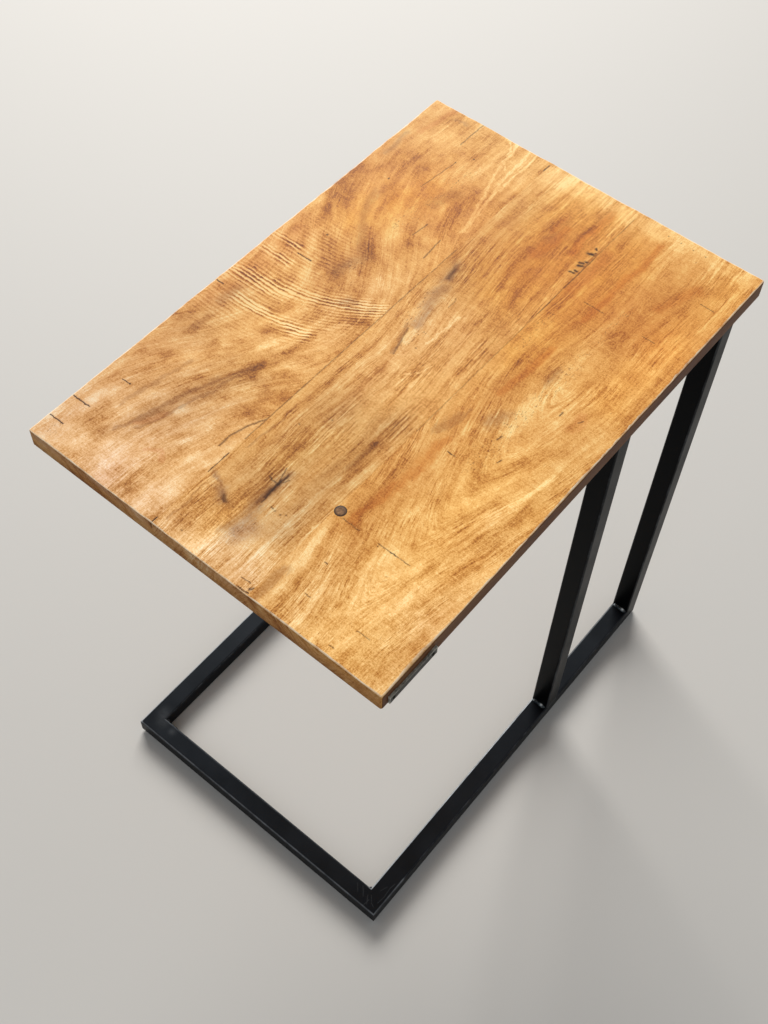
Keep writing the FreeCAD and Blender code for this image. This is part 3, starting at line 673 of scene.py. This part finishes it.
RIGHT = dict(
    contrast=0.72,
    silkiness=0.35,
    washes=[
        ("lit", 0.9, [(38, (128, -240), (132, -60))]),
        ("deep", 0.8, [(18, (62, 110), (62, 200)), (28, (115, 130), (125, 200))]),
        ("deep", 0.6, [(12, (70, -160), (76, 20)), (9, (80, 10), (84, 220))]),
        # the pale strip along the back edge is painted sheen
        ("cream_and_sheen", 0.5, [(14, (60, 250), (120, 250)), (14, (160, -100), (160, 20))]),
        ("amber", 1.2, [(28, (64, 60), (70, 190))]),
        ("amber", 0.6, [(22, (150, 150), (160, 220))]),
        ("gold", 0.7, [(22, (148, 60), (152, 125))]),
        ("pale", 0.8, [(18, (160, -185), (160, -95))]),
        ("lit", 0.5, [(18, (162, -185), (162, -95))]),
        ("grey", 0.7, [(6, (90, -18), (95, -4)), (4, (98, 42), (99, 54))]),
    ],
    lifts=[
        (0.15, [
            (3.5, (66, -235), (55, -176)), (5, (100, -175), (108, -158)),
            (2, (138, -200), (142, -110), (150, -70), (157, -25)),
        ]),
        (0.16, [
            # the stroke along the back edge, at y 242, is painted sheen
            (12, (60, 242), (165, 242)), (7, (104, -15), (106, 140)), (8, (90, -240), (84, -205)),
            (3, (78, -100), (80, -20)),
        ]),
        (-0.09, [
            (2.2, (106, -249), (106, -206), (97, -187), (89, -174), (85, -161), (84, -138),
             (87, -106)),
            (1.8, (123, -236), (123, -203), (129, -180), (133, -161), (139, -141), (144, -117),
             (156, -73), (159, -20)),
            (1.4, (112, -190), (103, -175), (99, -159)),
            (1.4, (110, -190), (119, -182), (127, -166)),
            (1.6, (117, -148), (112, -137), (107, -128), (103, -112)),
            (1.8, (117, -148), (123, -134), (130, -117), (134, -96), (141, -76)),
            (1.2, (148, -160), (152, -128), (156, -92), (162, -60)),
            (1.4, (164, -249), (154, -210)),
        ]),
    ],
    stains=[
        ("brown", 0.9, [
            (5, (55, -250), (57, -216)), (4, (62, -48), (67, -30)), (1.5, (68, -40), (71, -20)),
        ]),
        ("orange", 1.1, [
            (4, (68, -156), (70, -110)), (5, (72, -125), (75, -50)), (4, (78, 10), (82, 74)),
            (3.5, (84, 113), (87, 224)), (6, (122, 165), (138, 205)),
        ]),
        ("red", 0.5, [(5, (56, 135), (60, 190)), (4, (140, 20), (142, 32))]),
    ],
    specks=[
        (0.75, [
            (9, (104, -55), (106, -25)), (8, (103, -10), (106, 70)), (5, (103, 80), (106, 150)),
            (6, (60, 60), (60, 110)),
        ]),
    ],
    cuts=[
        (0.5, [
            (0.5, (94, -157), (123, -157)), (0.5, (60, -157), (76, -157.5)),
            (0.6, (81, -60), (88, -60)), (0.5, (81, -222), (86, -222)), (0.5, (73, 132), (92, 132)),
            (0.5, (130, 132), (141, 132)), (0.5, (147, 192), (160, 192)),
            (0.5, (128, -221), (139, -221)), (0.5, (121, -242), (125, -242)),
        ]),
        (0.6, [
            (0.6, (95, -159)), (0.5, (105, -157), (110, -157)), (0.5, (75, -193.5), (77, -193.5)),
            (0.6, (85, 240.5)), (0.6, (97, 240.7)), (0.6, (110, 240.3)), (0.6, (122, 240.6)),
            (0.7, (126, 23), (126, 27)), (0.5, (82, -60), (85, -60)), (0.7, (103, -27), (104, -22)),
            (0.6, (116, -44), (117, -40)), (0.6, (99, 45)), (0.6, (141, 26), (143, 30)),
        ]),
        (0.7, [(0.5, (51.2, 95), (51.2, 178))]),
        (0.4, [(0.45, (51.2, -60), (51.2, 95)), (0.45, (51.2, 178), (51.2, 240))]),
    ],
)

PLUG_MIDDLE = (54.7, -153.2)
PLUG_RADIUS = 4.9


def make_plug(name):
    """The end grain of a dowel, dark where glue and oil soaked into its rim."""
    material, shader, place = new_material(name)
    blotch = noise(place, (2.2, 2.8, 2.2), 21, 3, 0.6)
    pores = noise(place, (0.4, 0.4, 0.4), 22, 1)
    far = line_distance(from_above(place), [PLUG_MIDDLE]) + blotch * 1.2
    rings = noise(joined(far, 0, 0), (0.5, 1, 1), 23, 1)
    tone = 0.5 + blotch * 1.1 + rings * 0.5 + pores * 0.5
    colour = ramp(tone, [(0.2, (66, 40, 20)), (0.55, (122, 84, 48)), (0.85, (170, 126, 80))])
    rim = (far - PLUG_RADIUS).bell(1.1)
    colour = tinted(colour, rim.clamped(), (0.12, 0.09, 0.07), "MULTIPLY")
    height = pores * 0.06 - rim * 0.15
    set_inputs(shader, base_color=colour, roughness=0.5 + blotch * 0.2, normal=bumped(height),
               specular_ior_level=0.22)
    return material


# ---------------------------------------------------------------- metal, plastic and felt

# pale as bare steel: the colour of wear, dust, scratches and painted highlights
BARE_STEEL_AND_HIGHLIGHT = (178, 184, 190)
BASE_HIGHLIGHT_LINES = [  # an amount and strokes: painted highlights, pale as bare steel, on edges of the base whose rounded corners face the window
    (0.95, [(2.5, (-165, -237), (-165, 237)), (2.5, (145, -216), (145, 60))]),
    (0.25, [(2, (-165, -237.5), (165, -237.5)), (2, (145, 80), (145, 218)),
            (2, (165, -237), (165, -190))]),
]
BASE_SCRATCHES = [
    (0.35, (137, -221), (141, -225), (144, -229)), (0.3, (150, -223), (155, -229), (159, -231)),
    (0.3, (150, -236), (151, -228)), (0.35, (160, -225), (161, -216), (160, -205), (161, -199)),
    (0.3, (147, -225), (152, -233)), (0.25, (131, -222), (137, -229)),
    (0.25, (154, -214), (157, -206)),
]
BASE_DRESSED = [(7, (-146, -222), (-152, -214)), (4, (-130, -224))]
# painted highlights on the weld beads' crests: a half width and a place each
BEAD_HIGHLIGHT_SPOTS = [
    (1.6, (147, 216.5)), (1.5, (159, 216.5)), (1.6, (146.5, 58.5)), (1.3, (158, 58.5)),
]
PLATE_TOP = (539.4, 540.6)  # the heights between which its upper rim gets bright, in mm
PLATE_ENDS = (191, 243)  # how far in front of the table's middle its two ends are, in mm


def edge_of(place):
    """1 on a tube's rounded corners and 0 on its flat sides, and how much the place faces up."""
    side, end, up = facing(place)
    most = side.at_least(end).at_least(up)
    return most.between(0.985, 0.90), up


def make_steel(name, seed, shades, highlight_lines=(), scratches=(), dressed=()):
    """Satin black coating on steel tube, with its edges worn a little, and painted highlights, pale as
    bare steel, along the highlight lines.

    The scratches are thin, and the dressed spots are where a weld was ground flush before coating.
    """
    material, shader, place = new_material(name)
    above = from_above(place)
    cloud = noise(place, (45, 45, 45), seed, 3)
    peel = noise(place, (0.8, 0.8, 0.8), seed + 1, 2)
    rub = noise(place, (24, 24, 24), seed + 2, 4, 0.7)
    dust = noise(place, (0.7, 0.7, 0.7), seed + 3, 2, 0.7).between(0.17, 0.3)
    hair = noise(place, (0.35, 26, 26), seed + 4, 1).between(0.24, 0.3) * rub.between(0.0, 0.2)
    edge, up = edge_of(place)
    worn = edge * (rub.between(-0.1, 0.3) * 0.12 + 0.02)
    # along the highlight lines, painted highlights are added to the edges' wear
    for amount, lines in highlight_lines:
        upper_edge = edge * up.between(0.1, 0.5)
        worn = worn + upper_edge * marks(above, lines) * (rub.between(-0.4, 0.1) * amount)
    bare = worn + up * dust * 0.07 + hair * 0.06
    if scratches:
        bare = bare + up * marks(above, scratches, peel * 0.8) * (0.05 + peel * 0.25)
    if dressed:
        bare = bare + up * marks(above, dressed, rub) * (0.05 + rub * 0.2)
    coat = ramp(0.5 + cloud * 1.2, [(0.2, shades[0]), (0.8, shades[1])])
    height = peel * 0.02 + cloud * 0.1 - worn * 0.03
    rough = 0.34 + cloud * 0.18 + peel * 0.1 + up * dust * 0.25
    # the sides get a lower specular level than the tops, so they render darker: painted shade
    set_inputs(shader, base_color=tinted(coat, bare.clamped(), srgb(*BARE_STEEL_AND_HIGHLIGHT)),
               metallic=(worn * 0.4).clamped(), roughness=rough, normal=bumped(height),
               specular_ior_level=0.04 + up * 0.12, specular_tint=(0.74, 0.87, 1, 1))
    return material


def make_weld(name):
    """Weld bead under a thin coat, with painted highlights, near white, on its crests at the listed
    spots.
    """
    material, shader, place = new_material(name)
    spatter = noise(place, (1.6, 1.6, 1.6), 31, 3, 0.6)
    fine = noise(place, (0.5, 0.5, 0.5), 32, 2)
    tone = 0.5 + spatter * 1.6 + fine * 0.6
    colour = ramp(tone, [(0.15, (14, 20, 24)), (0.55, (40, 48, 54)), (0.9, (120, 132, 140))])
    # painted highlights at the listed spots
    bright = marks(from_above(place), BEAD_HIGHLIGHT_SPOTS, fine)
    colour = tinted(colour, bright.clamped(), srgb(225, 236, 242))
    set_inputs(shader, base_color=colour, roughness=0.38 + fine * 0.3, metallic=0.5,
               normal=bumped(spatter * 0.12 + fine * 0.05))
    return material


def make_plate(name):
    """Old plate: dull olive patina, lighter along its rims."""
    material, shader, place = new_material(name)
    patina = noise(place, (3.5, 3.5, 2.2), 41, 4, 0.7)
    grain = noise(place, (0.5, 2.4, 0.35), 42, 2, 0.6)
    x, y, z = parts(place)
    back, front = PLATE_ENDS
    rims = z.between(*PLATE_TOP) + (y + back).between(-1.2, -0.2) + (y + front).between(1.2, 0.2)
    tone = 0.45 + patina * 1.5 + grain * 0.5
    stops = [(0.1, (14, 12, 8)), (0.4, (34, 31, 23)), (0.7, (56, 52, 41)), (0.95, (96, 92, 78))]
    rim_lightening = (rims * (0.6 + patina * 2)).clamped()
    colour = tinted(ramp(tone, stops), rim_lightening, srgb(200, 198, 186))
    set_inputs(shader, base_color=colour, metallic=0.55, roughness=0.45 + patina * 0.4,
               normal=bumped(patina * 0.12 + grain * 0.04))
    return material


def make_zinc(name):
    """Zinc plate with fine turning marks."""
    material, shader, place = new_material(name)
    cloud = noise(place, (2.5, 2.5, 2.5), 51, 3)
    turned = noise(place, (3, 3, 0.25), 52, 2)
    colour = ramp(0.5 + cloud, [(0.2, (150, 150, 152)), (0.8, (196, 195, 190))])
    set_inputs(shader, base_color=colour, metallic=1.0, roughness=0.32 + cloud * 0.3,
               normal=bumped(turned * 0.03 + cloud * 0.02))
    return material


def make_felt(name):
    """Short matted wool fibres."""
    material, shader, place = new_material(name)
    tuft = noise(place, (2.2, 2.2, 2.2), 61, 3, 0.7)
    strand = noise(place, (0.12, 0.9, 0.5), 62, 2) + noise(place, (0.9, 0.12, 0.5), 63, 2)
    tone = 0.5 + tuft * 0.9 + strand * 0.6
    colour = ramp(tone, [(0.1, (72, 70, 66)), (0.5, (112, 109, 104)), (0.9, (158, 154, 148))])
    set_inputs(shader, base_color=colour, roughness=0.95, sheen_weight=0.3,
               normal=bumped(strand * 0.15 + tuft * 0.1))
    return material


def make_plastic(name):
    """Black moulded plastic with a spark-eroded grain."""
    material, shader, place = new_material(name)
    grain = noise(place, (0.3, 0.3, 0.3), 66, 2, 0.6)
    scuff = noise(place, (5, 5, 1.2), 67, 3, 0.6)
    colour = ramp(0.5 + scuff, [(0.2, (24, 24, 25)), (0.9, (52, 52, 53))])
    set_inputs(shader, base_color=colour, roughness=0.5 + scuff * 0.3,
               normal=bumped(grain * 0.04))
    return material


# ---------------------------------------------------------------- shapes that stand for CAD nodes

MERGE = 1e-6  # metres: corners nearer than this are one


def solids_of(name):
    """The corner points, in mm, of each separate solid in a CAD node."""
    form = bmesh.new()
    form.from_mesh(NODES[name].data)
    bmesh.ops.remove_doubles(form, verts=form.verts, dist=MERGE)
    waiting, solids = set(form.verts), []
    for first in form.verts:
        if first not in waiting:
            continue
        waiting.remove(first)
        solid, edge = [], [first]
        while edge:
            corner = edge.pop()
            solid.append(corner.co * 1000)
            near = {e.other_vert(corner) for e in corner.link_edges} & waiting
            waiting -= near
            edge.extend(near)
        solids.append(solid)
    form.free()
    return solids


def box_of(points):
    return [Vector([f(p[k] for p in points) for k in range(3)]) for f in (min, max)]


def new_piece(name, form, replaced):
    """A piece of the table from a form in mm, in place of a CAD node."""
    for face in form.faces:
        face.smooth = True
    bmesh.ops.recalc_face_normals(form, faces=form.faces)
    bmesh.ops.scale(form, vec=(0.001, 0.001, 0.001), verts=form.verts)
    mesh = bpy.data.meshes.new(name)
    form.to_mesh(mesh)
    form.free()
    piece = new_object(name, mesh)
    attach(piece, "root")
    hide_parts(replaced)
    return piece


def skin(form, rings):
    """Faces between closed rings of points, with the two ends closed."""
    sharp = 0.9  # radians: steeper edges than this aren't smoothed
    rows = [[form.verts.new(point) for point in ring] for ring in rings]
    for row, following in zip(rows, rows[1:]):
        for k in range(len(row)):
            form.faces.new((row[k - 1], row[k], following[k], following[k - 1]))
    ends = {form.faces.new(rows[0]), form.faces.new(rows[-1])}
    form.normal_update()
    for edge in {edge for row in rows for vert in row for edge in vert.link_edges}:
        edge.smooth = edge.calc_face_angle(0) < sharp and not set(edge.link_faces) & ends


def weld_rings(points, seed):
    """A fillet bead with the scales of a hand-led torch, in the space of its smooth CAD solid.

    The bead runs along one axis. Its root is the line where its two flat sides, the legs, meet. A
    filling is the flush weld over a tube's rounded corner: its legs are as short as that corner's
    radius, and its third side bends inwards.
    """
    filling_leg, steps_per_mm, turns = 2.5, 3.2, 10
    taper_length, scale_pitch = 2.4, 1.45
    low, high = box_of(points)
    size = high - low
    along = max(range(3), key=lambda k: size[k])
    first, second = [k for k in range(3) if k != along]
    ends = [(a, b) for a in (low[first], high[first]) for b in (low[second], high[second])]

    def room(end):
        return min(math.hypot(p[first] - end[0], p[second] - end[1]) for p in points)

    empty = max(ends, key=room)
    root = (low[first] + high[first] - empty[0], low[second] + high[second] - empty[1])
    legs = (empty[0] - root[0], empty[1] - root[1])
    filling = abs(legs[0]) < filling_leg
    steps = round(size[along] * steps_per_mm)
    rings = []
    for step in range(steps + 1):
        reach = step / steps * size[along]
        to_end = min(reach, size[along] - reach)
        taper = 1 if filling else min(1, 0.12 + math.sqrt(max(0, to_end / taper_length)) * 0.88)
        waver = perlin.noise(Vector((reach * 0.3, seed * 5.1, 0))) * 1.2
        ring = []
        for turn in range(turns + 1):
            angle = turn / turns * math.pi / 2
            bow = math.cos((angle - math.pi / 4) * 2) * 0.9
            scale = (reach + bow + waver) / scale_pitch % 1
            lumps = perlin.noise(Vector((reach * 0.35, angle, seed * 3.7)))
            depth = 1 if filling else 0.90 + 0.09 * scale + 0.03 * lumps
            across, up = math.cos(angle), math.sin(angle)
            if filling:
                across, up = 1 - up, 1 - across
            point = [0, 0, 0]
            point[along] = low[along] + reach
            point[first] = root[0] + legs[0] * across * taper * min(depth, 1)
            point[second] = root[1] + legs[1] * up * taper * min(depth, 1)
            ring.append(point)
        heel = list(ring[0])
        heel[first], heel[second] = root
        rings.append([heel] + ring)
    return rings


def make_beads(name):
    form = bmesh.new()
    for seed, points in enumerate(solids_of(name)):
        skin(form, weld_rings(points, seed + len(name)))
    return new_piece(name.replace("_welds", "_weld_beads"), form, name)


def make_rivets(name):
    """Domed heads on the plate's two pins."""
    head_height, dome_height, dome_steps, sides = 0.8, 0.6, 8, 20
    form = bmesh.new()
    for points in solids_of(name):
        low, high = box_of(points)
        middle, head = (low + high) / 2, (high.y - low.y) / 2
        shank = max(p.y for p in points if p.x < low.x + 0.01) - middle.y
        seat = high.x - head_height
        profile = [(shank, low.x), (shank, seat), (head, seat)]
        for step in range(dome_steps + 1):
            rise = step / dome_steps * math.pi / 2
            height = head_height - dome_height + math.sin(rise) * dome_height
            profile.append((max(math.cos(rise) * head, 0.05), seat + height))
        turns = [k / sides * math.tau for k in range(sides)]
        skin(form, [
            [(x, middle.y + math.cos(t) * radius, middle.z + math.sin(t) * radius) for t in turns]
            for radius, x in profile
        ])
    return new_piece("plate_rivets", form, name)


def hump(distance, reach):
    """1 where the distance is 0, falling to nothing at about twice the reach."""
    return math.exp(-((distance / reach) ** 2))


def rim_wear(point, outward):
    """How wide the eased upper rim is, in mm: uneven after years of use.

    The front right corner is worn most, and the right side is chipped by a saw.
    """
    wear = 1.5 + perlin.noise(point * 0.022) * 1.1 + perlin.noise(point * 0.11) * 0.6
    wear += hump(Vector((174 - point.x, point.y + 250)).length, 16) * 1.2
    if outward.x > 0.5:
        wear += hump(point.y + 214, 20) * 1.6
        wear += max(0, perlin.noise(point * 0.4)) * hump(point.y - 70, 90) * 1.8
    return min(max(wear, 0.6), 3.4)


def make_worn_board(name):
    """A board whose eased upper rim is worn unevenly, inside the CAD board's outline."""
    rim, corner, step = 1.5, 2.0, 3.0  # the CAD rim's and corners' radii, and the spacing of the wear
    flat_area = 20  # mm2: a face larger than this is a flat side, and a smaller one is on a rim
    boxes = [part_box(board) for board in ("board_left", "board_right")]
    low, high = boxes[0][0] * 1000, boxes[1][1] * 1000
    form = bmesh.new()
    form.from_mesh(NODES[name].data)
    bmesh.ops.remove_doubles(form, verts=form.verts, dist=MERGE)
    bmesh.ops.scale(form, vec=(1000, 1000, 1000), verts=form.verts)

    def outline(point):
        """The nearest point of the top's outline, and the direction out of the top there."""
        here = Vector((point.x, point.y, 0))
        inner = Vector((min(max(point.x, low.x + corner), high.x - corner),
                        min(max(point.y, low.y + corner), high.y - corner), 0))
        off = here - inner
        if min(abs(off.x), abs(off.y)) > 1e-4:
            return inner + off.normalized() * corner, off.normalized()
        gaps = {
            (-1, 0): here.x - low.x, (1, 0): high.x - here.x,
            (0, -1): here.y - low.y, (0, 1): high.y - here.y,
        }
        side = min(gaps, key=gaps.get)
        return here + Vector((*side, 0)) * gaps[side], Vector((*side, 0))

    def inset(vert):
        return (outline(vert.co)[0].xy - vert.co.xy).length

    def on_rim(vert):
        return vert.co.z > high.z - rim - 0.05 and inset(vert) < rim + 0.05

    def pieces_of(edge):
        worn = on_rim(edge.verts[0]) and on_rim(edge.verts[1])
        return round(edge.calc_length() / step) if worn else 0

    def between_alike(edge):
        """Whether the two faces at an edge are both flat sides, or both on a rim."""
        return len({face.calc_area() > flat_area for face in edge.link_faces}) == 1

    diagonals = [edge for edge in form.edges if pieces_of(edge) and between_alike(edge)]
    bmesh.ops.dissolve_limit(form, angle_limit=math.radians(0.5), verts=[], edges=diagonals)
    for cuts in {pieces_of(edge) for edge in form.edges} - {0}:
        chosen = [edge for edge in form.edges if pieces_of(edge) == cuts]
        bmesh.ops.subdivide_edges(form, edges=chosen, cuts=cuts - 1)
    for vert in [vert for vert in form.verts if on_rim(vert)]:
        edge, side = outline(vert.co)
        wear = rim_wear(edge, side) / rim
        back, drop = inset(vert) * wear, (high.z - vert.co.z) * wear
        vert.co = edge - side * back + Vector((0, 0, high.z - drop))
    for edge in form.edges:
        edge.smooth = between_alike(edge) and edge.calc_face_angle(0) < 0.6
    return new_piece(name + "_worn", form, name)


# ---------------------------------------------------------------- dressing the parts

def dress(pieces):
    """Gives each piece, named by the CAD node that it is or stands for, its material."""
    steel = make_steel("steel_black", 101, [(4, 4, 5), (9, 9, 10)])
    # the base rails get a lighter, bluer copy of the frame's black coating: painted light
    lit_base_steel = make_steel("steel_black_base_painted_light", 121, [(8, 9, 12), (15, 17, 22)],
                            BASE_HIGHLIGHT_LINES, BASE_SCRATCHES, BASE_DRESSED)
    weld, felt = make_weld("weld_coated"), make_felt("felt_grey")
    plate = make_plate("plate_patina")
    looks = {
        "board_left": make_wood("wood_left", 1, left_grain, **LEFT),
        "board_middle": make_wood("wood_middle", 41, middle_grain, **MIDDLE),
        "board_right": make_wood("wood_right", 81, right_grain, **RIGHT),
        "wood_plug": make_plug("wood_plug_end"),
        "base_front_rail": lit_base_steel,
        "base_left_rail": lit_base_steel,
        "base_right_rail": lit_base_steel,
        "foot_welds": weld,
        "head_welds": weld,
        "top_screws": make_zinc("screw_zinc"),
        "left_rail_cap": make_plastic("cap_black"),
        "edge_plate": plate,
        "edge_plate_pins": plate,
    }
    for name, piece in pieces:
        usual = felt if name.startswith("pad_") else steel
        piece.data.materials.clear()
        piece.data.materials.append(looks.get(name, usual))


pieces = list(NODES.items())
for board in ("board_left", "board_middle", "board_right"):
    pieces.append((board, make_worn_board(board)))
for welds in ("foot_welds", "head_welds", "base_corner_welds", "top_corner_welds"):
    pieces.append((welds, make_beads(welds)))
pieces.append(("edge_plate_pins", make_rivets("edge_plate_pins")))
dress(pieces)
